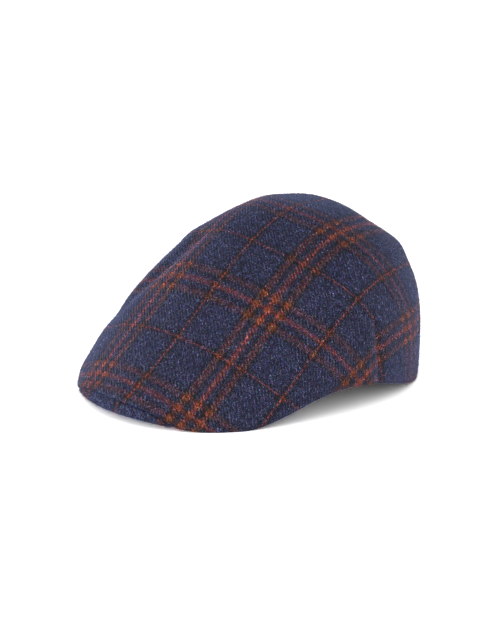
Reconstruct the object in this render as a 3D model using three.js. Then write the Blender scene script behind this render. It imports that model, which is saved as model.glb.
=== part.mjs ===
// An ascot cap: a hollow domed crown of wool cloth, drawn down over a short stiff peak.
// Millimetres, Z up. The peak points to -Y and the wearer's left is +X.
// The cloth is described from the crown's highest point: an angle round it, in degrees from the front,
// and a drop along the cloth, from 0 at the top to 1 at the bottom edge.

import * as THREE from 'three';

// Driving dimensions
const crownHeight = 130;
const clothWall = 2;
const hemExtra = 1.4; // the cloth turned up inside the bottom edge
const hemDepth = 10;
const hemStartAngle = 48;
const hemFullAngle = 60;
const seatGap = 0.3; // between the crown's cloth and the peak
const peakEndAngle = 48;
const peakDepth = 45; // at the middle, from its bottom edge to its root
const peakEndDepth = 16;
const peakThickness = 3.4;
const edgeBandHeight = 10; // the part of the peak's edge that shows below the crown
const edgeBandEndAngle = 31;
const edgeBandFullAngle = 18; // from here it sinks back under the cloth
const edgeBandSunkAngle = 27;
const edgeRound = 1.6;
const roundMiddle = 1 - Math.SQRT1_2; // share of a rounding's radius, half way round its corner

// The crown's outline, alike on the left and the right.
// reach and edge place the bottom edge, brow is how far the level top runs on,
// rise and lean are where the wall heads as it leaves the bottom edge.
const outline = [
  { angle: 0, reach: 142, edge: 5.5, brow: 60, rise: 24.5, lean: -7.5 },
  { angle: 25, reach: 136, edge: 3.5, brow: 57, rise: 29, lean: -2 },
  { angle: 50, reach: 116, edge: -0.8, brow: 51, rise: 42, lean: 8 },
  { angle: 75, reach: 96, edge: 12.5, brow: 46, rise: 61, lean: 16.5 },
  { angle: 100, reach: 89, edge: 16, brow: 50, rise: 75, lean: 16.5 },
  { angle: 130, reach: 92, edge: 6.5, brow: 60, rise: 84.5, lean: 14.5 },
  { angle: 155, reach: 100, edge: -1.5, brow: 69, rise: 91, lean: 15.5 },
  { angle: 180, reach: 105, edge: -1.5, brow: 69, rise: 89, lean: 17 },
];

// Folds pressed into the cloth: the soft valley beside the crease on the front slope,
// and the dart that takes in the cloth behind each ear. Each row is one point of a fold's line.
const folds = [
  {
    halfWidth: 9,
    path: [
      { angle: -3, drop: 0.26, depth: 0 },
      { angle: -7, drop: 0.34, depth: 2 },
      { angle: -11, drop: 0.44, depth: 3.2 },
      { angle: -15, drop: 0.53, depth: 2.6 },
      { angle: -18, drop: 0.66, depth: 0 },
    ],
  },
  {
    halfWidth: 6,
    path: [
      { angle: 101, drop: 0.7, depth: 0 },
      { angle: 106, drop: 0.85, depth: 1.2 },
      { angle: 112, drop: 1.05, depth: 1.2 },
    ],
  },
  {
    halfWidth: 6,
    path: [
      { angle: -101, drop: 0.7, depth: 0 },
      { angle: -106, drop: 0.85, depth: 1.2 },
      { angle: -112, drop: 1.05, depth: 1.2 },
    ],
  },
];

// How finely the cloth is divided
const frontStep = 3;
const sideStep = 6;
const wallRows = 17;
const hemRows = [hemDepth + 2, hemDepth + 0.4, hemDepth / 2, 0]; // heights above the bottom edge
const peakRows = 5;
const foldSteps = 24;
const arcStep = 0.002;
const slopePasses = 40;
const normalAngle = 1; // half the span, in degrees and in drop, that a surface normal is taken over
const normalDrop = 0.01;

const colours = { crown: 0x343a5c, peak: 0x2f3556 };
const clothRoughness = 0.92;

function smoothStep(low, high, value) {
  return THREE.MathUtils.smoothstep(value, low, high);
}

// Slopes of one smooth curve through the rows of a column, level at the front and at the back.
function columnSlopes(column) {
  const slopes = outline.map(() => 0);
  for (let pass = 0; pass < slopePasses; pass += 1) {
    for (let i = 1; i < outline.length - 1; i += 1) {
      const before = outline[i].angle - outline[i - 1].angle;
      const after = outline[i + 1].angle - outline[i].angle;
      const climbBefore = (outline[i][column] - outline[i - 1][column]) / before ** 2;
      const climbAfter = (outline[i + 1][column] - outline[i][column]) / after ** 2;
      const neighbours = slopes[i - 1] / before + slopes[i + 1] / after;
      slopes[i] = (3 * (climbBefore + climbAfter) - neighbours) / (2 / before + 2 / after);
    }
  }
  return slopes;
}

const outlineColumns = ['reach', 'edge', 'brow', 'rise', 'lean'];
const slopesOf = Object.fromEntries(outlineColumns.map((column) => [column, columnSlopes(column)]));

// The value of a column of the outline at any angle round the crown.
function outlineAt(column, angle) {
  const turned = Math.abs(THREE.MathUtils.euclideanModulo(angle + 180, 360) - 180);
  let i = 0;
  while (i < outline.length - 2 && turned > outline[i + 1].angle) {
    i += 1;
  }
  const span = outline[i + 1].angle - outline[i].angle;
  const t = (turned - outline[i].angle) / span;
  const start = outline[i][column];
  const end = outline[i + 1][column];
  const startSlope = slopesOf[column][i] * span;
  const endSlope = slopesOf[column][i + 1] * span;
  return (2 * t ** 3 - 3 * t ** 2 + 1) * start + (t ** 3 - 2 * t ** 2 + t) * startSlope
    + (3 * t ** 2 - 2 * t ** 3) * end + (t ** 3 - t ** 2) * endSlope;
}

// A point of the plain dome, before any fold.
function domePoint(angle, drop) {
  const reach = outlineAt('reach', angle);
  const edge = outlineAt('edge', angle);
  const profile = new THREE.CubicBezierCurve(
    new THREE.Vector2(0, crownHeight),
    new THREE.Vector2(outlineAt('brow', angle), crownHeight),
    new THREE.Vector2(reach + outlineAt('lean', angle), edge + outlineAt('rise', angle)),
    new THREE.Vector2(reach, edge),
  );
  const place = profile.getPoint(drop);
  const turn = THREE.MathUtils.degToRad(angle);
  return new THREE.Vector3(place.x * Math.sin(turn), -place.x * Math.cos(turn), place.y);
}

// Each fold's line as points on the dome, with the depth at each.
const foldLines = folds.map(({ path }) => {
  const line = [];
  for (let k = 0; k <= foldSteps; k += 1) {
    const place = (k / foldSteps) * (path.length - 1);
    const i = Math.min(Math.floor(place), path.length - 2);
    const between = (key) => THREE.MathUtils.lerp(path[i][key], path[i + 1][key], place - i);
    line.push({ place: domePoint(between('angle'), between('drop')), depth: between('depth') });
  }
  return line;
});

// How far the folds press the cloth in at a point.
function foldDepth(point) {
  let total = 0;
  folds.forEach(({ halfWidth }, f) => {
    const presses = foldLines[f].map(({ place, depth }) => (
      depth * Math.exp(-((place.distanceTo(point) / halfWidth) ** 2))
    ));
    total += Math.max(...presses);
  });
  return total;
}

function domeNormal(angle, drop) {
  const centre = Math.max(drop, normalDrop);
  const across = domePoint(angle + normalAngle, centre).sub(domePoint(angle - normalAngle, centre));
  const down = domePoint(angle, centre + normalDrop).sub(domePoint(angle, centre - normalDrop));
  return down.cross(across).normalize();
}

// A point of the cloth, so far in from its outer face. The cloth flattens where it rests.
function clothPoint(angle, drop, depth) {
  const point = domePoint(angle, drop);
  const normal = drop === 0 ? new THREE.Vector3(0, 0, 1) : domeNormal(angle, drop);
  point.addScaledVector(normal, -depth - foldDepth(point));
  point.z = Math.max(point.z, 0);
  return point;
}

// The drop that lies so far above the bottom edge, measured along the cloth.
function dropAbove(angle, height) {
  let drop = 1;
  let climbed = 0;
  let last = domePoint(angle, drop);
  while (climbed < height && drop > arcStep) {
    drop -= arcStep;
    const next = domePoint(angle, drop);
    climbed += next.distanceTo(last);
    last = next;
  }
  return drop;
}

// How high the crown's edge stands above the bottom edge, over the peak.
function bandHeight(angle) {
  const share = Math.min(Math.abs(angle) / edgeBandEndAngle, 1);
  return edgeBandHeight * (1 - share ** 3);
}

function clothMaterial(colour) {
  return new THREE.MeshStandardMaterial({ color: colour, roughness: clothRoughness, metalness: 0 });
}

function meshFrom(name, points, faces) {
  const geometry = new THREE.BufferGeometry();
  geometry.setAttribute('position', new THREE.Float32BufferAttribute(points.flatMap((p) => p.toArray()), 3));
  geometry.setIndex(faces.flat());
  geometry.computeVertexNormals();
  const mesh = new THREE.Mesh(geometry, clothMaterial(colours[name]));
  mesh.name = name;
  return mesh;
}

// The angles of the crown's columns, closer together over the peak.
function columnAngles() {
  const angles = [];
  for (let angle = -peakEndAngle; angle < peakEndAngle; angle += frontStep) {
    angles.push(angle);
  }
  for (let angle = peakEndAngle; angle < 360 - peakEndAngle; angle += sideStep) {
    angles.push(angle);
  }
  return angles;
}

// One column of the crown from the top down, outer or inner face.
function crownColumn(angle, inner) {
  const band = bandHeight(angle) + (Math.abs(angle) < edgeBandEndAngle ? seatGap : 0);
  const turned = angle > 180 ? 360 - angle : Math.abs(angle);
  const hem = hemExtra * smoothStep(hemStartAngle, hemFullAngle, turned);
  const upper = dropAbove(angle, band + hemRows[0]);
  const rows = [];
  for (let k = 1; k < wallRows; k += 1) {
    rows.push(clothPoint(angle, upper * (k / wallRows), inner ? clothWall : 0));
  }
  for (const height of hemRows) {
    const folded = height < hemRows[0] ? hem : 0;
    const depth = inner ? clothWall + folded : 0;
    rows.push(clothPoint(angle, dropAbove(angle, band + height), depth));
  }
  return rows;
}

function makeCrown() {
  const angles = columnAngles();
  const rows = wallRows - 1 + hemRows.length;
  const points = [clothPoint(0, 0, 0), clothPoint(0, 0, clothWall)];
  for (const angle of angles) {
    points.push(...crownColumn(angle, false), ...crownColumn(angle, true));
  }
  const outer = (column, row) => 2 + (column % angles.length) * rows * 2 + row;
  const inner = (column, row) => outer(column, row) + rows;
  const faces = [];
  for (let c = 0; c < angles.length; c += 1) {
    faces.push([0, outer(c, 0), outer(c + 1, 0)]);
    faces.push([1, inner(c + 1, 0), inner(c, 0)]);
    for (let r = 0; r < rows - 1; r += 1) {
      faces.push([outer(c, r), outer(c, r + 1), outer(c + 1, r + 1)]);
      faces.push([outer(c, r), outer(c + 1, r + 1), outer(c + 1, r)]);
      faces.push([inner(c, r), inner(c + 1, r + 1), inner(c, r + 1)]);
      faces.push([inner(c, r), inner(c + 1, r), inner(c + 1, r + 1)]);
    }
    const last = rows - 1;
    faces.push([outer(c, last), inner(c, last), inner(c + 1, last)]);
    faces.push([outer(c, last), inner(c + 1, last), outer(c + 1, last)]);
  }
  return meshFrom('crown', points, faces);
}

// One section through the peak, as heights above the bottom edge and depths into the cloth:
// up the band that shows, up the face under the crown, over the root and down the underside.
function peakSection(angle) {
  const underCloth = clothWall + seatGap;
  const front = underCloth * smoothStep(edgeBandFullAngle, edgeBandSunkAngle, Math.abs(angle));
  const corner = edgeRound * roundMiddle;
  const bandTop = Math.max(bandHeight(angle), edgeRound + 2 * corner);
  const share = Math.abs(angle) / peakEndAngle;
  const root = peakEndDepth + (peakDepth - peakEndDepth) * (1 - share ** 2);
  const back = underCloth + peakThickness;
  const section = [
    { height: 0, depth: front + edgeRound },
    { height: corner, depth: front + corner },
    { height: edgeRound, depth: front },
    { height: bandTop - corner, depth: front },
    { height: bandTop, depth: Math.max(front + corner, underCloth) },
  ];
  for (let k = 1; k <= peakRows; k += 1) {
    section.push({ height: bandTop + (root - edgeRound - bandTop) * (k / peakRows), depth: underCloth });
  }
  section.push({ height: root, depth: underCloth + peakThickness / 2 });
  for (let k = 0; k <= peakRows; k += 1) {
    section.push({ height: root - edgeRound - (root - 2 * edgeRound) * (k / peakRows), depth: back });
  }
  return section;
}

function makePeak() {
  const points = [];
  const angles = [];
  for (let angle = -peakEndAngle; angle <= peakEndAngle; angle += frontStep) {
    angles.push(angle);
  }
  for (const angle of angles) {
    for (const { height, depth } of peakSection(angle)) {
      points.push(clothPoint(angle, dropAbove(angle, height), depth));
    }
  }
  const size = peakSection(0).length;
  const faces = [];
  for (let c = 0; c < angles.length - 1; c += 1) {
    for (let k = 0; k < size; k += 1) {
      const next = (k + 1) % size;
      faces.push([c * size + k, (c + 1) * size + k, (c + 1) * size + next]);
      faces.push([c * size + k, (c + 1) * size + next, c * size + next]);
    }
  }
  const flat = peakSection(peakEndAngle).map(({ height, depth }) => new THREE.Vector2(depth, height));
  const far = (angles.length - 1) * size;
  for (const [a, b, c] of THREE.ShapeUtils.triangulateShape(flat, [])) {
    faces.push([c, b, a]);
    faces.push([far + a, far + b, far + c]);
  }
  return meshFrom('peak', points, faces);
}

const cap = new THREE.Group();
cap.add(makeCrown(), makePeak());

// The origin is under the middle of the cap's box.
const box = new THREE.Box3().setFromObject(cap);
const middle = box.getCenter(new THREE.Vector3());
for (const piece of cap.children) {
  piece.geometry.translate(-middle.x, -middle.y, -box.min.z);
}

export default cap;
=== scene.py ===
import math

import bpy
import numpy as np
from mathutils import Matrix, Vector


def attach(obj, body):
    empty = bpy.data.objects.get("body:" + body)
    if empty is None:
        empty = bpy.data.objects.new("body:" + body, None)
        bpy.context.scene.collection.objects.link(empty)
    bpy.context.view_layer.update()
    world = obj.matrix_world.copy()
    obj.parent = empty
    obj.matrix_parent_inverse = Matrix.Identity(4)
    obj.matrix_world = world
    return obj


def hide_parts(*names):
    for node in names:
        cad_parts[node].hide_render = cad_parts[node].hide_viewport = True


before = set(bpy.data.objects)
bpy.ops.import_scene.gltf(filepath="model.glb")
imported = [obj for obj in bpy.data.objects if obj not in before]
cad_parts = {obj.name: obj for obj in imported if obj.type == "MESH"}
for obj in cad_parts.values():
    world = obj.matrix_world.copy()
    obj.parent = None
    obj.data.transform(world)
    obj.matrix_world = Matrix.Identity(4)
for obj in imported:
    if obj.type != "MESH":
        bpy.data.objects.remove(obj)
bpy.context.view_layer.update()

mm = 0.001
scene = bpy.context.scene


# the dome that all the cloth follows, in millimetres
# an angle goes round from the middle of the front, in degrees, and a drop goes down the cloth from the top, 0,
# to the bottom edge, 1

domeSizes = {
    "height": 130,
    "middle": 16.7,  # from the highest point forward to the middle of the cap
    "angle": [0, 25, 50, 75, 100, 130, 155, 180],
    "reach": [142, 136, 116, 96, 89, 92, 100, 105],  # how far out the bottom edge is
    "edge": [5.5, 3.5, -0.8, 12.5, 16, 6.5, -1.5, -1.5],  # how high the bottom edge is
    "brow": [60, 57, 51, 46, 50, 60, 69, 69],  # how far out the top stays high
    "rise": [24.5, 29, 42, 61, 75, 84.5, 91, 89],  # how far up the side stays steep
    "lean": [-7.5, -2, 8, 16.5, 16.5, 14.5, 15.5, 17],  # how far the side swells past the edge
}


def makeColumn(angles, values, level=True):
    # one smooth curve through a column of sizes, level or free at its two ends
    angles, values = np.array(angles, float), np.array(values, float)
    last = len(angles) - 1
    rows, rates = np.zeros((last + 1, last + 1)), np.zeros(last + 1)
    steps = np.diff(angles)
    climbs = np.diff(values) / steps
    for i in range(1, last):
        rows[i, i - 1:i + 2] = 1 / steps[i - 1], 2 / steps[i - 1] + 2 / steps[i], 1 / steps[i]
        rates[i] = 3 * (climbs[i - 1] / steps[i - 1] + climbs[i] / steps[i])
    if level:
        rows[0, 0] = rows[last, last] = 1
    else:
        rows[0, :2], rates[0] = (2, 1), 3 * climbs[0]
        rows[last, last - 1:], rates[last] = (1, 2), 3 * climbs[-1]
    slopes = np.linalg.solve(rows, rates)

    def valueAt(angle):
        i = np.clip(np.searchsorted(angles, angle, side="right") - 1, 0, last - 1)
        span = angles[i + 1] - angles[i]
        t = (angle - angles[i]) / span
        return ((2 * t**3 - 3 * t**2 + 1) * values[i] + (t**3 - 2 * t**2 + t) * slopes[i] * span
                + (3 * t**2 - 2 * t**3) * values[i + 1] + (t**3 - t**2) * slopes[i + 1] * span)
    return valueAt


domeColumns = {name: makeColumn(domeSizes["angle"], domeSizes[name])
               for name in ("reach", "edge", "brow", "rise", "lean")}


def domePoint(angle, drop):
    angle, drop = np.broadcast_arrays(np.asarray(angle, float), np.asarray(drop, float))
    turned = np.abs((angle + 180) % 360 - 180)
    reach, edge, brow, rise, lean = [domeColumns[name](turned) for name in domeColumns]
    up = 1 - drop
    out = 3 * up**2 * drop * brow + 3 * up * drop**2 * (reach + lean) + drop**3 * reach
    top = domeSizes["height"]
    z = up**3 * top + 3 * up**2 * drop * top + 3 * up * drop**2 * (edge + rise) + drop**3 * edge
    turn = np.radians(angle)
    return np.stack([out * np.sin(turn), domeSizes["middle"] - out * np.cos(turn), z], -1)


def domeNormal(angle, drop):
    turn, step = 1, 0.01  # how far apart the points are that give the slope
    centre = np.maximum(drop, step)
    across = domePoint(angle + turn, centre) - domePoint(angle - turn, centre)
    down = domePoint(angle, centre + step) - domePoint(angle, centre - step)
    normal = np.cross(down, across)
    normal /= np.linalg.norm(normal, axis=-1, keepdims=True)
    normal[np.broadcast_to(drop, normal.shape[:-1]) <= 0] = (0, 0, 1)
    return normal


def smoothStep(low, high, value):
    t = np.clip((np.asarray(value, float) - low) / (high - low), 0, 1)
    return t * t * (3 - 2 * t)


def runLengths(line):
    # how far along a line each of its points is
    return np.concatenate([[0], np.cumsum(np.linalg.norm(np.diff(line, axis=0), axis=1))])


# folds pressed into the cloth: the valley beside the crease, a dart behind each ear, the seam at the back

foldPoints = 90  # along each fold
clothFolds = {
    "crease": {"halfWidth": 8, "angle": [-3, -7, -11, -15, -18], "drop": [0.26, 0.34, 0.44, 0.53, 0.66],
               "depth": [0, 2.6, 4, 3.2, 0]},
    "dart": {"halfWidth": 6, "angle": [102, 106.4, 111.8], "drop": [0.7, 0.85, 1.05], "depth": [0, 1.2, 1.2],
             "mirrored": True},
    "dartStitch": {"halfWidth": 1.5, "angle": [102, 106.4, 111.8], "drop": [0.7, 0.85, 1.05],
                   "depth": [0, 1.1, 1.2], "mirrored": True},
    "backSeam": {"halfWidth": 1.3, "angle": [180, 180, 180], "drop": [0.3, 0.6, 1.05],
                 "depth": [0, 1.1, 1.2]},
    "nape": {"halfWidth": 15, "angle": [151, 151, 151], "drop": [0.78, 0.86, 0.9], "depth": [1.2, 2.8, 2],
             "mirrored": True},
    # soft dents and swellings across the outline; a swelling has a depth below 0
    "backDent": {"halfWidth": 14, "angle": [148, 166, 184], "drop": [0.4, 0.37, 0.34],
                 "depth": [0, 2.5, 0]},
    "backSwelling": {"halfWidth": 9, "angle": [146, 160, 174], "drop": [0.54, 0.53, 0.52],
                     "depth": [0, -1.6, 0]},
    "topSwelling": {"halfWidth": 16, "angle": [-150, -168, -186], "drop": [0.16, 0.18, 0.2],
                    "depth": [0, -1.5, 0]},
    "topDent": {"halfWidth": 10, "angle": [-95, -60, -34], "drop": [0.19, 0.2, 0.23],
                "depth": [0, 1.5, 0]},
    "shoulder": {"halfWidth": 9, "angle": [-44, -31, -18], "drop": [0.32, 0.33, 0.34],
                 "depth": [0, -1.4, 0]},
    "frontDent": {"halfWidth": 10, "angle": [-40, -26, -12], "drop": [0.66, 0.66, 0.66],
                  "depth": [0, 1.7, 0]},
    "frontSwelling": {"halfWidth": 7, "angle": [-32, -21, -10], "drop": [0.9, 0.9, 0.9],
                      "depth": [0, -1, 0]},
}


def foldLine(fold, side):
    # close points along the fold, and how deep it is at each
    share = np.linspace(0, len(fold["angle"]) - 1, foldPoints)
    knots = np.arange(len(fold["angle"]))
    angle = np.interp(share, knots, fold["angle"]) * side
    return domePoint(angle, np.interp(share, knots, fold["drop"])), np.interp(share, knots, fold["depth"])


def foldDepth(points):
    total = np.zeros(points.shape[:-1])
    for fold in clothFolds.values():
        for side in ((1, -1) if fold.get("mirrored") else (1,)):
            line, depths = foldLine(fold, side)
            press = np.zeros(total.shape)
            for place, depth in zip(line, depths):
                apart = ((points - place) ** 2).sum(-1)
                pressed = depth * np.exp(-apart / fold["halfWidth"] ** 2)
                press = np.where(np.abs(pressed) > np.abs(press), pressed, press)
            total += press
    return total


def clothPoint(angle, drop, depth):
    # a point of the cloth, so far in from its outer face; the cloth flattens where it rests
    points = domePoint(angle, drop)
    inward = np.asarray(depth, float) + foldDepth(points)
    points = points - domeNormal(angle, drop) * inward[..., None]
    points[..., 2] = np.maximum(points[..., 2], 0)
    return points


# how the cloth's threads run over the dome
# across counts towards the wearer's left and along counts towards the back, in mm of cloth, from a crossing
# of two thick bands near the middle of the front edge; mid is half way down the cloth, and hem is the
# bottom edge

threadSizes = {
    "repeat": 82,  # from one thick band of the plaid to the next
    "topAcross": 16,
    "topAlong": 177,
    "acrossRate": 1.11,
    "alongRate": 1.07,
    "bandSlant": 0.25,  # how the cross bands run back towards the wearer's left
    "bandLean": 0.28,
    "angle": [-180, -155, -130, -100, -75, -50, -25, 0, 25, 50, 75, 100, 130, 155, 180],
    "midAcross": [-54, -63, -64, -74, -71, -61, -35, -4, 32, 67, 88, 103, 113, 110, 93],
    "midAlong": [274, 242, 206, 167, 138, 110, 95, 81, 79, 90, 117, 143, 178, 215, 258],
    "hemAcross": [-188, -165, -153, -157, -146, -115, -58, 11, 67, 116, 146, 169, 195, 208, 200],
    "hemAlong": [251, 222, 183, 128, 84, 34, 3, -24, -20, 11, 50, 84, 139, 192, 245],
    "dartAcross": 9,  # what each dart takes in at the edge
    "dartAlong": 17,
    "dartTop": 0.77,
    "dartFade": 165,  # the angle by which what it takes in has spread out
    "tableEnd": 1.1,
    "tableRows": 441,
}
threadColumns = {name: makeColumn(threadSizes["angle"], threadSizes[name], False)
                 for name in ("midAcross", "midAlong", "hemAcross", "hemAlong")}


def lengthTable():
    # lengths down the cloth from the top, for every degree round one side
    angles = np.arange(0, 181.0)
    drops = np.linspace(0, threadSizes["tableEnd"], threadSizes["tableRows"])
    grid = domePoint(angles[:, None], drops[None, :])
    steps = np.linalg.norm(np.diff(grid, axis=1), axis=-1)
    return drops, np.concatenate([np.zeros((len(angles), 1)), np.cumsum(steps, 1)], 1)


tableDrops, tableLengths = lengthTable()


def lengthAt(angle, drop):
    turned = np.clip(np.abs(angle), 0, 180)
    low = np.minimum(turned.astype(int), len(tableLengths) - 2)
    place = np.clip(drop / tableDrops[1], 0, len(tableDrops) - 1.001)
    row = place.astype(int)
    a, b = turned - low, place - row
    pick = tableLengths
    return ((1 - a) * (1 - b) * pick[low, row] + (1 - a) * b * pick[low, row + 1]
            + a * (1 - b) * pick[low + 1, row] + a * b * pick[low + 1, row + 1])


def dartAngle(drop):
    return np.interp(drop, clothFolds["dart"]["drop"], clothFolds["dart"]["angle"])


def throughMiddle(start, rate, middle, end, share):
    # a curve that leaves its start at this rate and passes its middle and its end
    cube = 2 * (rate + end - start) - 8 * (middle - start)
    square = end - start - rate - cube
    return start + rate * share + square * share**2 + cube * share**3


def threadsAt(angle, drop, side, behind):
    # side is 1 on the wearer's left, and behind is True past a dart
    sizes = threadSizes
    turned = np.abs(angle)
    whole = lengthAt(turned, np.ones_like(turned))
    share = lengthAt(turned, drop) / whole
    left, back = whole * np.sin(np.radians(turned)) * side, -whole * np.cos(np.radians(turned))
    columns = {name: column(turned * side) for name, column in threadColumns.items()}
    across = throughMiddle(sizes["topAcross"], sizes["acrossRate"] * left + sizes["bandLean"] * back,
                           columns["midAcross"], columns["hemAcross"], share)
    along = throughMiddle(sizes["topAlong"], sizes["alongRate"] * back - sizes["bandSlant"] * left,
                          columns["midAlong"], columns["hemAlong"], share)
    taken = np.clip((drop - sizes["dartTop"]) / (1 - sizes["dartTop"]), 0, None)
    taken = taken * (1.5 - taken / 2) * (1 - smoothStep(dartAngle(drop), sizes["dartFade"], turned)) * behind
    across = across + taken * sizes["dartAcross"] * side
    along = along + taken * sizes["dartAlong"]
    return np.stack([across, along], -1) / sizes["repeat"]


# the crown

crownSizes = {
    "wall": 2,
    "hemExtra": 1.4,  # how much thicker the cloth is where it is turned up
    "hemDepth": 10,
    "hemAngles": (48, 60),  # where the turned-up hem begins and is whole, beside the peak
    "hemPlain": (0.8, 3.4),  # where its plain rows stop, short of the fold and of the raw edge
    "hemStitch": ((2.6, 0), (2.1, 0.5), (1.6, 0), (0.3, 0), (0, 0.15)),  # places below the raw edge, and dips
    "hemEnd": (0.15, 2),
    "bandHeight": 8.3,  # how far the peak's edge shows below the crown
    "bandMiddle": 9.5,
    "bandHalf": 22.5,
    "seatGap": 0.3,
    "groove": 0.8,
    "grooveFade": (0.75, 1),
    "frontLip": 0.7,  # how far the crown's front edge stands out over the peak
    "lipFade": (0.45, 0.8),
    "lipPlace": 2,
    "lipSpread": 3,
    "dartColumn": 106,  # the column that runs down the dart, and how far round others lean with it
    "dartLean": 24,
    "columns": 288,
    "wallRows": 92,
    "innerRows": 44,
    "edgeZone": 14,  # the rows are closer from here down
    "edgeRows": (12.6, 11.2, 9.8, 8.4, 7, 5.8, 4.6, 3.6, 2.8),
    "rollRows": 11,
    "hemRows": 6,
    "lineEnd": 1.02,
    "lineRows": 409,
}


def bandShare(angle):
    # 0 at the middle of the peak's shown edge and 1 at its two ends
    return np.minimum(np.abs(angle - crownSizes["bandMiddle"]) / crownSizes["bandHalf"], 1)


def bandHeight(angle):
    return crownSizes["bandHeight"] * (1 - bandShare(angle)**3)


def columnAngle(column, drop):
    # columns lean with the dart, so that one of them runs down it
    turned, dart = abs(column), crownSizes["dartColumn"]
    share = max(0.0, 1 - abs(turned - dart) / crownSizes["dartLean"])
    share = share * share * (3 - 2 * share)
    return math.copysign(1, column) * (turned + share * (dartAngle(drop) - dart))


def crownColumn(column):
    # one section of the crown: rows of drop, angle and depth, from the top down, round the hem and up inside
    sizes = crownSizes
    fine = np.linspace(0, sizes["lineEnd"], sizes["lineRows"])
    lengths = runLengths(domePoint(columnAngle(column, fine), fine))
    shown = float(1 - smoothStep(*sizes["grooveFade"], bandShare(column)))
    band = float(bandHeight(column)) + sizes["groove"] * shown
    hem = sizes["hemExtra"] * float(smoothStep(*sizes["hemAngles"], abs(column)))
    edge = float(np.interp(1, fine, lengths)) - band
    folded = sizes["wall"] + hem
    radius = folded / 2
    wallEnd = edge - sizes["edgeZone"]
    share = np.linspace(0, 1, sizes["wallRows"] + 1)[1:]
    outer = [(s, 0) for s in wallEnd * share]
    outer += [(edge - h, 0) for h in sizes["edgeRows"]]
    roll = np.radians(np.linspace(0, 180, sizes["rollRows"]))
    outer += [(edge - radius * (1 - math.sin(a)), radius * (1 - math.cos(a))) for a in roll]
    nearFold, nearEdge = sizes["hemPlain"]
    plain = np.linspace(radius + nearFold, sizes["hemDepth"] - nearEdge, sizes["hemRows"])
    inner = [(edge - h, folded) for h in plain]
    # the stitching that holds the hem up, then its raw edge
    rawEdge = edge - sizes["hemDepth"]
    inner += [(rawEdge + h, folded - hem * dip) for h, dip in sizes["hemStitch"]]
    inner += [(rawEdge - h, sizes["wall"]) for h in sizes["hemEnd"]]
    share = np.linspace(1, 0, sizes["innerRows"] + 1)[:-1]
    inner += [(s, sizes["wall"]) for s in wallEnd * share]
    rows = np.array(outer + inner)
    drops = np.interp(rows[:, 0], lengths, fine)
    lip = sizes["frontLip"] * float(1 - smoothStep(*sizes["lipFade"], bandShare(column)))
    fromLip = (edge - rows[:, 0] - sizes["lipPlace"]) / sizes["lipSpread"]
    proud = lip * np.exp(-fromLip ** 2) * (rows[:, 1] < sizes["wall"])
    return drops, columnAngle(column, drops), rows[:, 1] - proud


def meshObject(name, points, faces, threads):
    # a mesh in metres, with where its cloth's threads run as a UV map
    mesh = bpy.data.meshes.new(name)
    mesh.from_pydata((points * mm).tolist(), [], faces)
    layer = mesh.uv_layers.new(name="threads")
    layer.data.foreach_set("uv", np.asarray(threads, np.float32).ravel())
    mesh.validate()
    mesh.update()
    piece = bpy.data.objects.new(name, mesh)
    scene.collection.objects.link(piece)
    mesh.shade_smooth()
    return piece


def makeCrown():
    count = crownSizes["columns"]
    dart = crownSizes["dartColumn"]
    columns = -180 + 360 / count * np.arange(1, count + 1)
    for line in (dart, -dart):
        columns[np.argmin(np.abs(columns - line))] = line
    sections = [crownColumn(c) for c in columns]
    drops, angles, depths = [np.array(parts) for parts in zip(*sections)]
    grid = clothPoint(angles, drops, depths)
    rows = drops.shape[1]
    top = clothPoint(np.zeros(2), np.zeros(2), np.array([0, crownSizes["wall"]]))
    points = np.concatenate([grid.reshape(-1, 3), top])
    outerTop, innerTop = count * rows, count * rows + 1
    # the plaid doesn't meet at the back seam or at a dart, so each panel has its own threads
    panels = {(side, behind): threadsAt(angles, drops, side, behind)
              for side in (1, -1) for behind in (False, True)}
    topThreads = [threadSizes[name] / threadSizes["repeat"] for name in ("topAcross", "topAlong")]
    faces, threads = [], []
    for c in range(count):
        n = (c + 1) % count
        middle = columns[n] - 180 / count  # of the strip between the two columns
        chosen = panels[(1 if middle > 0 else -1, bool(abs(middle) > dart))]
        faces.append((outerTop, c * rows, n * rows))
        threads += [topThreads, chosen[c, 0], chosen[n, 0]]
        for r in range(rows - 1):
            faces.append((c * rows + r, c * rows + r + 1, n * rows + r + 1, n * rows + r))
            threads += [chosen[c, r], chosen[c, r + 1], chosen[n, r + 1], chosen[n, r]]
        faces.append((innerTop, n * rows + rows - 1, c * rows + rows - 1))
        threads += [topThreads, chosen[n, -1], chosen[c, -1]]
    return meshObject("crown_cloth", points, faces, threads)


crown = makeCrown()
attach(crown, "root")
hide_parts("crown")
print("crown", len(crown.data.polygons), "faces")


# the peak

peakSizes = {
    "endAngle": 48,
    "depth": 45,
    "endDepth": 16,
    "thickness": 3.4,
    "round": 1.7,
    "roundShare": 0.45,  # the most that the rounding takes of a low band
    "leastBand": 2.2,
    "leastTop": 2.2,  # in roundings
    "leastLip": 0.05,
    "fullBand": 0.87,  # towards its ends the band sinks back under the cloth
    "sunkBand": 0.95,
    "columns": 193,
    "lineRows": 401,
    "rows": {"bottom": 7, "band": 5, "bandTop": 6, "covered": 14, "root": 8, "back": 16, "heel": 6},
    "clear": {"band": 0.5, "lip": 0.3, "root": 1},  # how far the straight rows stop from a rounding
    "frontRow": 9,  # the row of the shown band that its threads are measured along
    "acrossShift": 13,  # where its own piece of cloth was cut
    "alongShift": 15,
    "drawn": 0.9,  # the cloth is drawn tight over the board
    "lastStep": 1,
    "endMark": 0.02,
}


def cornerArc(centreHeight, centreDepth, radius, start, end, steps):
    turns = np.radians(np.linspace(start, end, steps))
    return [(centreHeight + radius * math.sin(a), centreDepth - radius * math.cos(a)) for a in turns]


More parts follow.
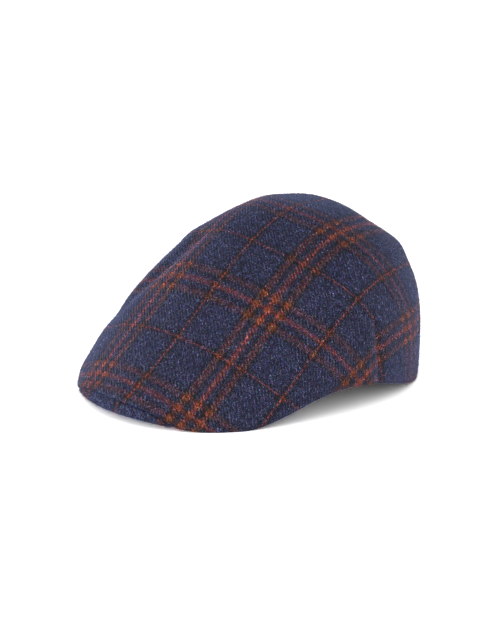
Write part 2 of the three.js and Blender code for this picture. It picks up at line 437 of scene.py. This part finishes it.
def peakSection(angle):
    # heights above the bottom edge and depths into the cloth, round one section
    sizes, rows, clear = peakSizes, peakSizes["rows"], peakSizes["clear"]
    under = crownSizes["wall"] + crownSizes["seatGap"]
    front = under * float(smoothStep(sizes["fullBand"], sizes["sunkBand"], bandShare(angle)))
    back = under + sizes["thickness"]
    height = float(bandHeight(angle))
    radius = min(sizes["round"], sizes["roundShare"] * max(height, sizes["leastBand"]))
    bandTop = max(height, sizes["leastTop"] * radius)
    lip = max(min(radius, under - front + sizes["leastLip"]), sizes["leastLip"])
    root = sizes["endDepth"] + (sizes["depth"] - sizes["endDepth"]) * (1 - (angle / sizes["endAngle"]) ** 2)
    half = sizes["thickness"] / 2
    section = cornerArc(radius, front + radius, radius, -90, 0, rows["bottom"])
    section += [(h, front) for h in
                np.linspace(radius + clear["band"], bandTop - lip - clear["lip"], rows["band"])]
    section += cornerArc(bandTop - lip, front + lip, lip, 0, 80, rows["bandTop"])
    section += [(h, under) for h in
                np.linspace(bandTop + clear["band"], root - radius - clear["band"], rows["covered"])]
    section += cornerArc(root - radius, under + half, half, 0, 180, rows["root"])
    section += [(h, back) for h in np.linspace(root - radius - clear["root"], 2 * radius, rows["back"])]
    section += cornerArc(radius, back - radius, radius, 180, 262, rows["heel"])
    return section


def makePeak():
    sizes = peakSizes
    angles = np.linspace(-sizes["endAngle"], sizes["endAngle"], sizes["columns"])
    fine = np.linspace(0, 1, sizes["lineRows"])
    points, girths = [], []
    for angle in angles:
        section = np.array(peakSection(angle))
        lengths = runLengths(domePoint(angle, fine))
        drops = np.interp(lengths[-1] - section[:, 0], lengths, fine)
        points.append(clothPoint(np.full(len(drops), angle), drops, section[:, 1]))
        girths.append(runLengths(section))
    points, girths = np.array(points), np.array(girths)
    size, last = points.shape[1], len(angles) - 1
    across = runLengths(points[:, sizes["frontRow"]])
    across = (across - across[-1] / 2) * sizes["drawn"] + sizes["acrossShift"]
    repeat = threadSizes["repeat"]
    faces, threads = [], []

    def mark(c, k):
        girth = girths[c, k] if k < size else girths[c, -1] + sizes["lastStep"]
        return [across[c] / repeat, (sizes["alongShift"] + girth) / repeat]

    for c in range(last):
        for k in range(size):
            n = (k + 1) % size
            faces.append((c * size + k, (c + 1) * size + k, (c + 1) * size + n, c * size + n))
            threads += [mark(c, k), mark(c + 1, k), mark(c + 1, k + 1), mark(c, k + 1)]
    flat = points.reshape(-1, 3)
    ends = []
    for c in (0, last):
        # each end closes on a point in its middle
        first, centre = c * size, len(flat) + len(ends)
        ends.append(flat[first:first + size].mean(0))
        centreMark = [mark(c, 0)[0] + sizes["endMark"], (sizes["alongShift"] + girths[c].mean()) / repeat]
        for k in range(size):
            pair = [(first + k, mark(c, k)), (first + (k + 1) % size, mark(c, k + 1))]
            if c == last:
                pair.reverse()
            faces.append((centre, pair[0][0], pair[1][0]))
            threads += [centreMark, pair[0][1], pair[1][1]]
    return meshObject("peak_cloth", np.concatenate([flat, ends]), faces, threads)


peak = makePeak()
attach(peak, "root")
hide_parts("peak")
print("peak", len(peak.data.polygons), "faces")


# the nap: short loose fibres that stand off the brushed wool

napSizes = {
    "crownFibres": 31000,  # on each side
    "peakFibres": 4500,
    "length": (1.0, 2.8),
    "thickness": (0.05, 0.10),
    "lie": (44, 85),  # how far a fibre leans from upright, in degrees
    "lieBias": 0.7,  # below 1, more of them lie flat
    "brushed": 2.2,  # how much of the lean is downwards
    "lift": 0.05,
    "curl": 0.5,
    "droop": 0.25,
    "rootDepth": 0.15,
    "floorTurn": 0.3,
    "middleHeight": 20,  # a point inside the dome, to tell the outer face by
    "bandTop": 18,
    "seed": 7,
}


def readMesh(items, field, width, kind=float):
    # one field of a mesh's items, as rows
    values = np.zeros(len(items) * width, kind)
    items.foreach_get(field, values)
    return values.reshape(-1, width)


def makeNap(name, piece, count, seed, facing):
    # facing picks the faces that carry fibres
    sizes = napSizes
    chooser = np.random.default_rng(sizes["seed"] + seed)
    mesh = piece.data
    mesh.calc_loop_triangles()
    corners = readMesh(mesh.loop_triangles, "vertices", 3, int)
    loops = readMesh(mesh.loop_triangles, "loops", 3, int)
    triangles = readMesh(mesh.vertices, "co", 3)[corners] / mm
    marks = readMesh(mesh.uv_layers["threads"].data, "uv", 2)[loops]
    normals = np.cross(triangles[:, 1] - triangles[:, 0], triangles[:, 2] - triangles[:, 0])
    areas = np.linalg.norm(normals, axis=1) / 2
    normals /= np.maximum(areas, 1e-9)[:, None] * 2
    weights = areas * facing(triangles.mean(1), normals)
    picked = chooser.choice(len(weights), count, p=weights / weights.sum())
    share = chooser.random((count, 2))
    share[share.sum(1) > 1] = 1 - share[share.sum(1) > 1]
    share = np.column_stack([1 - share.sum(1), share])[:, :, None]
    roots, threadsThere = (triangles[picked] * share).sum(1), (marks[picked] * share).sum(1)
    up = normals[picked]

    def between(pair, power=1.0):
        return pair[0] + (pair[1] - pair[0]) * chooser.random(count) ** power

    def level(vectors):
        vectors = vectors - up * (vectors * up).sum(1, keepdims=True)
        return vectors / np.linalg.norm(vectors, axis=1, keepdims=True)

    lie, length = np.radians(between(sizes["lie"], sizes["lieBias"])), between(sizes["length"])
    # the nap is brushed down
    along = level(chooser.normal(size=(count, 3)) + np.array([0, 0, -sizes["brushed"]]))
    aside = level(chooser.normal(size=(count, 3)))
    way = up * np.cos(lie)[:, None] + along * np.sin(lie)[:, None]
    middles = roots + way * length[:, None] * 0.5 + up * sizes["lift"]
    bent = (way + aside * chooser.normal(0, sizes["curl"], (count, 1))
            - up * chooser.uniform(0, sizes["droop"], (count, 1)))
    tips = middles + bent * length[:, None] * 0.5
    girth = between(sizes["thickness"]) / 2
    flank = np.cross(way, aside)
    flank /= np.linalg.norm(flank, axis=1, keepdims=True)
    other = np.cross(way, flank)
    ring = [middles + (flank * math.cos(a) + other * math.sin(a)) * girth[:, None]
            for a in np.radians([0, 120, 240])]
    points = np.stack([roots - up * sizes["rootDepth"], *ring, tips], 1).reshape(-1, 3)
    # fibres that meet the floor turn up
    points[:, 2] = np.where(points[:, 2] < 0, -sizes["floorTurn"] * points[:, 2], points[:, 2])
    # a fibre is its root, a ring of three round its middle, and its tip
    pattern = np.array([(0, 2, 1), (0, 3, 2), (0, 1, 3), (4, 1, 2), (4, 2, 3), (4, 3, 1)])
    faces = (pattern[None] + 5 * np.arange(count)[:, None, None]).reshape(-1, 3)
    return meshObject(name, points, faces.tolist(), np.repeat(threadsThere, pattern.size, axis=0))


def outerCloth(places, normals):
    outward = places - np.array([0, domeSizes["middle"], napSizes["middleHeight"]])
    return (normals * outward).sum(1) > 0


def leftCloth(places, normals):
    return outerCloth(places, normals) * (places[:, 0] > 0)


def rightCloth(places, normals):
    return outerCloth(places, normals) * (places[:, 0] < 0)


def shownBand(places, normals):
    # the peak's own rolled edge, below and in front of the crown
    angle = np.degrees(np.arctan2(places[:, 0], domeSizes["middle"] - places[:, 1]))
    return outerCloth(places, normals) * (places[:, 2] < napSizes["bandTop"]) * (bandShare(angle) < 1)


naps = []
for k, (name, facing) in enumerate((("left", leftCloth), ("right", rightCloth))):
    naps.append(makeNap("crown_nap_" + name, crown, napSizes["crownFibres"], k, facing))
naps.append(makeNap("peak_nap", peak, napSizes["peakFibres"], 2, shownBand))
for nap in naps:
    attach(nap, "root")
print("nap", sum(len(nap.data.polygons) for nap in naps), "faces")


# cloth materials
# a noise is given by its scale and detail, a shade by its base and gain, and a contrast by its gain and what is
# then taken off

twillSizes = {
    "yarns": 116,  # in one repeat of the plaid
    "wander": 0.5,  # how far a yarn strays, in yarns
    "wanderNoise": (160, 3),
    "fuzz": 0.13,  # how much of the covered yarn's colour shows
    "knotting": 1.7,
    "roundness": (0.6, 0.3),  # of a float of yarn, over its width and its length; it shapes both the bump and the painted shade
    "hairNoise": (2500, 1),
    "hairContrast": (12, 5),
    "hairHeight": 0.6,
    "paleYarn": (4, 0.3),  # how rare the much paler floats are, and how strong
    "paleHair": (0.58, 2.4),  # where the noise of the hairs turns pale, and how fast
    "paleGain": (2.2, 2.2, 2.2, 1),
    "heatherNoise": (800, 2),
    "heather": (2.5, 2.0, 2.1, 1),  # how far the fibres of a yarn differ in dye
    "heatherLess": (0.25, 0, 0.05, 1),
    "dashes": (0.95, 0.12),  # over and along the raised lines of the twill
    "dashContrast": (3.4, 0.7),
    "leastShade": 0.1,
    # painted light: weft floats are made darker and warp floats lighter, by how each catches the light
    "lineShade": (0.72, 0.56),
    # painted shade: how much of a float's colour stays where it dips at its sides and ends
    "grainShade": 0.28,
    "patchNoise": (45, 3),
    "patchShade": (0.72, 0.56),
    "luckShade": (0.9, 0.2),
    # the fourth number of a yarn is how far it takes on the knot colour where it crosses another warm yarn
    "navy": (0.0091, 0.0098, 0.0262, 0),
    "black": (0.0036, 0.0032, 0.0040, 0),
    "orange": (0.125, 0.022, 0.011, 0.5),
    "ember": (0.096, 0.015, 0.007, 0.6),
    "rust": (0.050, 0.009, 0.003, 0.8),
    "red": (0.138, 0.023, 0.009, 0.3),
    "dusk": (0.022, 0.006, 0.004, 0),
    "brown": (0.044, 0.012, 0.005, 0.7),
    "olive": (0.038, 0.019, 0.004, 0.6),
    "knot": (0.112, 0.023, 0.003, 1),
    "pale": (0.045, 0.048, 0.070, 1),  # what the light fibres add
}

# stripes by the yarn's count from the middle of a thick band, 58 being the middle of a thin one
plaidStripes = [
    (0, "orange"), (1, "ember"), (2, "brown"), (4, "navy"), (6, "black"),
    (10, "rust"), (11, "brown"), (12, "rust"), (13, "olive"), (14, "rust"), (15, "brown"), (16, "black"),
    (19, "navy"), (54, "black"), (57, "dusk"), (58, "red"),
]


def makeTwillGroup():
    group = bpy.data.node_groups.new("wool twill plaid", "ShaderNodeTree")
    face = group.interface
    face.new_socket("Threads", in_out="INPUT", socket_type="NodeSocketVector")
    face.new_socket("Place", in_out="INPUT", socket_type="NodeSocketVector")
    face.new_socket("Colour", in_out="OUTPUT", socket_type="NodeSocketColor")
    face.new_socket("Height", in_out="OUTPUT", socket_type="NodeSocketFloat")
    nodes, links = group.nodes, group.links
    source, result = nodes.new("NodeGroupInput"), nodes.new("NodeGroupOutput")
    sizes, yarns = twillSizes, twillSizes["yarns"]

    def feed(slot, value):
        if isinstance(value, (int, float, tuple)):
            slot.default_value = value
        else:
            links.new(value, slot)

    def maths(operation, *values):
        node = nodes.new("ShaderNodeMath")
        node.operation = operation
        for slot, value in zip(node.inputs, values):
            feed(slot, value)
        return node.outputs[0]

    def raised(base, gain, value):
        return maths("ADD", base, maths("MULTIPLY", value, gain))

    def contrast(value, gain, less):
        return maths("MAXIMUM", maths("SUBTRACT", maths("MULTIPLY", value, gain), less), sizes["leastShade"])

    def mixColour(factor, first, second, blend="MIX"):
        node = nodes.new("ShaderNodeMix")
        node.data_type, node.blend_type = "RGBA", blend
        feed(node.inputs[0], factor)
        feed(node.inputs[6], first)
        feed(node.inputs[7], second)
        return node.outputs[2]

    def mixNumber(factor, first, second):
        node = nodes.new("ShaderNodeMix")
        feed(node.inputs[0], factor)
        feed(node.inputs[2], first)
        feed(node.inputs[3], second)
        return node.outputs[0]

    def noiseAt(place, scale, detail):
        # its outputs are a number and a colour
        node = nodes.new("ShaderNodeTexNoise")
        node.inputs["Scale"].default_value = scale
        node.inputs["Detail"].default_value = detail
        links.new(place, node.inputs["Vector"])
        return node.outputs

    def joined(first, second):
        pair = nodes.new("ShaderNodeCombineXYZ")
        feed(pair.inputs[0], first)
        feed(pair.inputs[1], second)
        return pair.outputs[0]

    def parted(vector):
        node = nodes.new("ShaderNodeSeparateXYZ")
        links.new(vector, node.inputs[0])
        return node.outputs

    def chance(first, second):
        node = nodes.new("ShaderNodeTexWhiteNoise")
        node.noise_dimensions = "2D"
        links.new(joined(first, second), node.inputs["Vector"])
        return node.outputs[0]

    # where a point is among the yarns, which don't run quite straight
    place = source.outputs["Place"]
    stray, threads = parted(noiseAt(place, *sizes["wanderNoise"])[1]), parted(source.outputs["Threads"])
    counts = []
    for k in (0, 1):
        offset = maths("MULTIPLY", maths("SUBTRACT", stray[k], 0.5), sizes["wander"] * 2)
        counts.append(maths("ADD", maths("MULTIPLY", threads[k], yarns), maths("ADD", offset, 0.5)))
    warp, weft = [maths("FLOOR", count) for count in counts]
    warpInside, weftInside = [maths("FRACT", count) for count in counts]
    whole = yarns / 2 + 0.5  # from the middle of a thick band to past the middle of a thin one

    def stripeColour(yarn):
        # how far this yarn is from the nearest thick band, as a share of the way to the thin one
        centred = maths("MODULO", maths("ADD", yarn, yarns * 20.5), yarns)
        apart = maths("ADD", maths("ABSOLUTE", maths("SUBTRACT", centred, yarns / 2)), 0.5)
        ramp = nodes.new("ShaderNodeValToRGB")
        ramp.color_ramp.interpolation = "CONSTANT"
        stops = ramp.color_ramp.elements
        stops.remove(stops[-1])
        for k, (count, colour) in enumerate(plaidStripes):
            stop = stops[0] if k == 0 else stops.new(count / whole)
            stop.color = sizes[colour]
        links.new(maths("DIVIDE", apart, whole), ramp.inputs[0])
        return ramp.outputs

    # two over and two under, one yarn further on in each row; whole repeats are added to stay above 0
    both = maths("ADD", maths("ADD", warp, weft), yarns * 40)
    step = maths("MODULO", both, 4)
    warpOver = maths("LESS_THAN", step, 1.5)
    row = maths("FLOOR", maths("DIVIDE", both, 4))
    # two chances for each float of yarn, with shifts that keep them unlike
    first = mixNumber(warpOver, maths("ADD", weft, 700.5), maths("ADD", warp, 0.5))
    luck, fortune = chance(first, row), chance(maths("ADD", first, 31.3), maths("MULTIPLY", row, 1.37))
    warpDye, weftDye = stripeColour(warp), stripeColour(weft)
    # loose fibres of each yarn lie over its neighbours too
    shown = raised(sizes["fuzz"], 1 - 2 * sizes["fuzz"], warpOver)
    colour = mixColour(shown, weftDye[0], warpDye[0])
    warm = maths("MULTIPLY", maths("MULTIPLY", warpDye[1], weftDye[1]),
                 maths("MULTIPLY", fortune, sizes["knotting"]))
    colour = mixColour(maths("MINIMUM", warm, 1), colour, sizes["knot"])

    # each float of yarn is a small rounded grain; the rounding is the bump's height and, as painted shade,
    # darkens the colour at the float's sides and ends
    across = mixNumber(warpOver, weftInside, warpInside)
    lengthwise = mixNumber(warpOver, maths("SUBTRACT", maths("ADD", step, warpInside), 2),
                           maths("ADD", step, weftInside))
    hump = maths("SINE", maths("MULTIPLY", across, math.pi))
    bulge = maths("SINE", maths("MULTIPLY", lengthwise, math.pi / 2))
    grain = maths("MULTIPLY", maths("POWER", maths("MAXIMUM", hump, 0), sizes["roundness"][0]),
                  maths("POWER", maths("MAXIMUM", bulge, 0), sizes["roundness"][1]))

    # the fibres are mixed: some floats are darker and some much paler than others
    hair = noiseAt(place, *sizes["hairNoise"])[0]
    rarity, strength = sizes["paleYarn"]
    above, gain = sizes["paleHair"]
    pale = maths("ADD", maths("MULTIPLY", maths("POWER", fortune, rarity), strength),
                 maths("MULTIPLY", maths("MAXIMUM", maths("SUBTRACT", hair, above), 0), gain))
    lightened = mixColour(1.0, mixColour(1.0, colour, sizes["paleGain"], "MULTIPLY"), sizes["pale"], "ADD")
    colour = mixColour(maths("MINIMUM", pale, 1), colour, lightened)

    # fibres of unlike dyes are spun together
    heather = mixColour(1.0, noiseAt(place, *sizes["heatherNoise"])[1], sizes["heather"], "MULTIPLY")
    heather = mixColour(1.0, heather, sizes["heatherLess"], "SUBTRACT")
    colour = mixColour(1.0, colour, heather, "MULTIPLY")

    # the raised lines of the twill, with warp floats painted lighter than weft floats as painted light, and
    # dashes of shade along them
    slant = joined(*[maths("MULTIPLY", maths(way, counts[0], counts[1]), scale)
                     for way, scale in zip(("ADD", "SUBTRACT"), sizes["dashes"])])
    line = maths("MULTIPLY", raised(*sizes["lineShade"], warpOver),
                 contrast(noiseAt(slant, 1, 1)[0], *sizes["dashContrast"]))
    patches = noiseAt(place, *sizes["patchNoise"])[0]
    # painted shade: the colour is darkened where each float dips at its sides and ends, and varies at random in
    # patches
    shade = maths("MULTIPLY", maths("ADD", sizes["grainShade"], grain), raised(*sizes["patchShade"], patches))
    # painted light: warp floats lighter than weft floats along the twill lines; each float's luck makes it
    # darker or lighter at random
    shade = maths("MULTIPLY", maths("MULTIPLY", shade, line), raised(*sizes["luckShade"], luck))
    shade = maths("MULTIPLY", shade, contrast(hair, *sizes["hairContrast"]))
    height = raised(maths("MULTIPLY", grain, line), sizes["hairHeight"], hair)
    links.new(mixColour(1.0, colour, shade, "MULTIPLY"), result.inputs["Colour"])
    links.new(height, result.inputs["Height"])
    return group


twillGroup = makeTwillGroup()

clothLooks = {
    "crownSheen": 0.35,
    "peakSheen": 0.25,
    "sheenSpread": 0.2,
    "sheenTint": (0.38, 0.50, 1.0, 1),
    "roughness": 0.9,
    "gloss": 0.15,
    "bump": 0.6,
    "bumpDepth": 0.3,
    "fibreRoughness": 0.7,
    "fibreGloss": 0.2,
    "fibreGainAndSheen": (6, 6, 6, 1),  # single fibres look paler than the yarn they come from, and the gain also paints the sheen of the lit nap into them
    # a pale bluish tint on every fibre, partly their own colour and partly painted sheen
    "fibrePaleAndSheen": (0.010, 0.012, 0.030, 1),
}


def woolMaterial(name, roughness, gloss):
    # a material that has the twill in it, to be finished by one of the next two
    material = bpy.data.materials.new(name)
    material.use_nodes = True
    nodes, links = material.node_tree.nodes, material.node_tree.links
    shader = nodes["Principled BSDF"]
    shader.inputs["Roughness"].default_value = roughness
    shader.inputs["Specular IOR Level"].default_value = gloss
    threads, place = nodes.new("ShaderNodeUVMap"), nodes.new("ShaderNodeTexCoord")
    threads.uv_map = "threads"
    twill = nodes.new("ShaderNodeGroup")
    twill.node_tree = twillGroup
    links.new(threads.outputs[0], twill.inputs["Threads"])
    links.new(place.outputs["Object"], twill.inputs["Place"])
    return material, shader, twill


def clothMaterial(name, sheen):
    looks = clothLooks
    material, shader, twill = woolMaterial(name, looks["roughness"], looks["gloss"])
    links = material.node_tree.links
    bump = material.node_tree.nodes.new("ShaderNodeBump")
    bump.inputs["Strength"].default_value = looks["bump"]
    bump.inputs["Distance"].default_value = looks["bumpDepth"] * mm
    links.new(twill.outputs["Colour"], shader.inputs["Base Color"])
    links.new(twill.outputs["Height"], bump.inputs["Height"])
    links.new(bump.outputs[0], shader.inputs["Normal"])
    shader.inputs["Sheen Weight"].default_value = sheen
    shader.inputs["Sheen Roughness"].default_value = looks["sheenSpread"]
    shader.inputs["Sheen Tint"].default_value = looks["sheenTint"]
    return material


def fibreMaterial():
    looks = clothLooks
    material, shader, twill = woolMaterial("loose wool fibres", looks["fibreRoughness"], looks["fibreGloss"])
    nodes, links = material.node_tree.nodes, material.node_tree.links
    colour = twill.outputs["Colour"]
    # the fibres' colour is the yarn's, raised and tinted: partly the paleness of single fibres, partly painted
    # sheen
    for blend, amount in (("MULTIPLY", looks["fibreGainAndSheen"]), ("ADD", looks["fibrePaleAndSheen"])):
        mix = nodes.new("ShaderNodeMix")
        mix.data_type, mix.blend_type = "RGBA", blend
        mix.inputs[0].default_value = 1
        links.new(colour, mix.inputs[6])
        mix.inputs[7].default_value = amount
        colour = mix.outputs[2]
    links.new(colour, shader.inputs["Base Color"])
    return material


crown.data.materials.append(clothMaterial("plaid wool of the crown", clothLooks["crownSheen"]))
peak.data.materials.append(clothMaterial("plaid wool of the peak", clothLooks["peakSheen"]))
looseFibres = fibreMaterial()
for nap in naps:
    nap.data.materials.append(looseFibres)
print("materials", len(bpy.data.materials))


# floor, light and camera

studio = {
    "floorSide": 40,
    "floorHeight": -0.0001,  # just clear of the hem
    "floorShown": 1.75,  # the floor is overexposed, as in pictures on pure white
    "floorBounce": 1.7,
    "horizon": 1.85,
    "zenith": 0.72,
    "lampPower": 9,
    "lampSide": 0.6,
    "lampPlace": (0.34, -1.27, 0.33),
    "lampTarget": (0, 0, 0.05),
}

bpy.ops.object.select_all(action="DESELECT")
bpy.ops.mesh.primitive_plane_add(size=studio["floorSide"], location=(0, 0, studio["floorHeight"]))
floor = bpy.context.object
floor.name = "floor"
floorPaint = bpy.data.materials.new("white studio floor")
floorPaint.use_nodes = True
paintNodes, paintLinks = floorPaint.node_tree.nodes, floorPaint.node_tree.links
paintNodes.remove(paintNodes["Principled BSDF"])
coats = []
for amount in (studio["floorBounce"], studio["floorShown"]):
    coats.append(paintNodes.new("ShaderNodeBsdfDiffuse"))
    coats[-1].inputs[0].default_value = (amount, amount, amount, 1)
seen, choice = paintNodes.new("ShaderNodeLightPath"), paintNodes.new("ShaderNodeMixShader")
paintLinks.new(seen.outputs["Is Camera Ray"], choice.inputs[0])
for k in (0, 1):
    paintLinks.new(coats[k].outputs[0], choice.inputs[k + 1])
paintLinks.new(choice.outputs[0], paintNodes["Material Output"].inputs["Surface"])
floor.data.materials.append(floorPaint)

world = bpy.data.worlds.new("soft sky")
world.use_nodes = True
skyNodes, skyLinks = world.node_tree.nodes, world.node_tree.links
skyNodes["Background"].inputs[0].default_value = (1, 1, 1, 1)
direction, parts = skyNodes.new("ShaderNodeTexCoord"), skyNodes.new("ShaderNodeSeparateXYZ")
fade = skyNodes.new("ShaderNodeMapRange")
fade.inputs["To Min"].default_value = studio["horizon"]
fade.inputs["To Max"].default_value = studio["zenith"]
skyLinks.new(direction.outputs["Generated"], parts.inputs[0])
skyLinks.new(parts.outputs[2], fade.inputs[0])
skyLinks.new(fade.outputs[0], skyNodes["Background"].inputs[1])
scene.world = world

lampData = bpy.data.lights.new("softbox", "AREA")
lampData.energy = studio["lampPower"]
lampData.size = studio["lampSide"]
lamp = bpy.data.objects.new("softbox", lampData)
lamp.location = studio["lampPlace"]
fromTarget = Vector(studio["lampPlace"]) - Vector(studio["lampTarget"])
lamp.rotation_euler = fromTarget.to_track_quat("Z", "Y").to_euler()
scene.collection.objects.link(lamp)
scene.view_settings.view_transform = "Standard"

cameraSizes = {
    "azimuth": 61.16,  # round from the front, towards the wearer's left
    "elevation": 14.09,
    "distance": 968.4,
    "focal": 1398.66,  # in pixels of the picture
    "picture": 500,  # its width in pixels
    "sensor": 36,
    "target": (0, 1.7, 45),
    "right": -5.28,
    "up": 5.0,
}
turn, tilt = math.radians(cameraSizes["azimuth"]), math.radians(cameraSizes["elevation"])
backward = Vector((math.sin(turn) * math.cos(tilt), -math.cos(turn) * math.cos(tilt), math.sin(tilt)))
rightward = Vector((math.cos(turn), math.sin(turn), 0))
upward = backward.cross(rightward)
aim = Vector(cameraSizes["target"]) + rightward * cameraSizes["right"] + upward * cameraSizes["up"]
cameraData = bpy.data.cameras.new("camera")
cameraData.sensor_fit = "HORIZONTAL"
cameraData.sensor_width = cameraSizes["sensor"]
cameraData.lens = cameraSizes["focal"] * cameraSizes["sensor"] / cameraSizes["picture"]
cameraData.clip_start, cameraData.clip_end = 0.01, 100
camera = bpy.data.objects.new("camera", cameraData)
place = (aim + backward * cameraSizes["distance"]) * mm
camera.matrix_world = Matrix.Translation(place) @ Matrix((rightward, upward, backward)).transposed().to_4x4()
scene.collection.objects.link(camera)
scene.camera = camera
